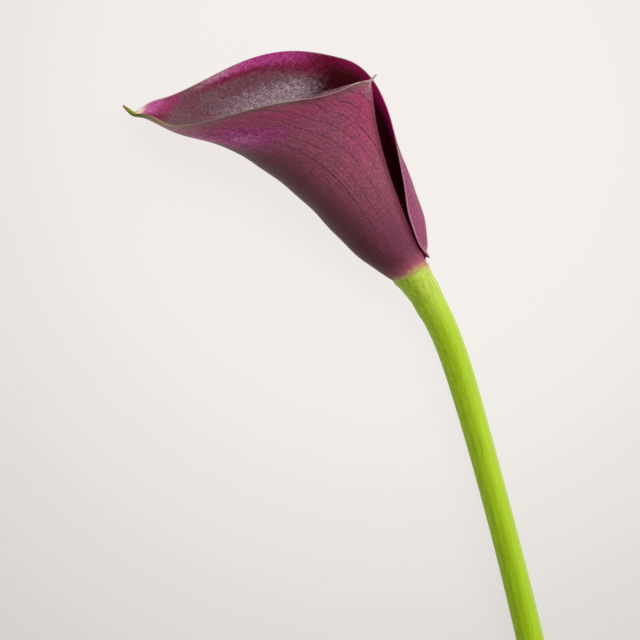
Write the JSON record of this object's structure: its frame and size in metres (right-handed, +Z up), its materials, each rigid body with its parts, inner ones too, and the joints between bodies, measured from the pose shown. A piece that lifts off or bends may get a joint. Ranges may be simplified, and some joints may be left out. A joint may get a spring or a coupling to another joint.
{
  "type": "calla lily flower",
  "caption": "Cut calla lily lying on its side: a dark plum rolled spathe with a green tail, its spadix inside, on a smooth green stem.",
  "frame": {"origin": "on the surface that the flower lies on, under the middle of its bounding box", "axes": "+Z up from that surface; +Y from the cut end of the stem towards the head; +X towards the seam side of the head"},
  "size_m": [0.1196, 0.3076, 0.0514],
  "materials": {
    "spathe": "satin, waxy petal, plum outside and burgundy inside",
    "spadix": "matte, fine florets",
    "stem": "satin, fine lengthwise ribs"
  },
  "bodies": {
    "root": {"spathe": "spathe", "spadix": "spadix", "stem": "stem"}
  },
  "joints": []
}
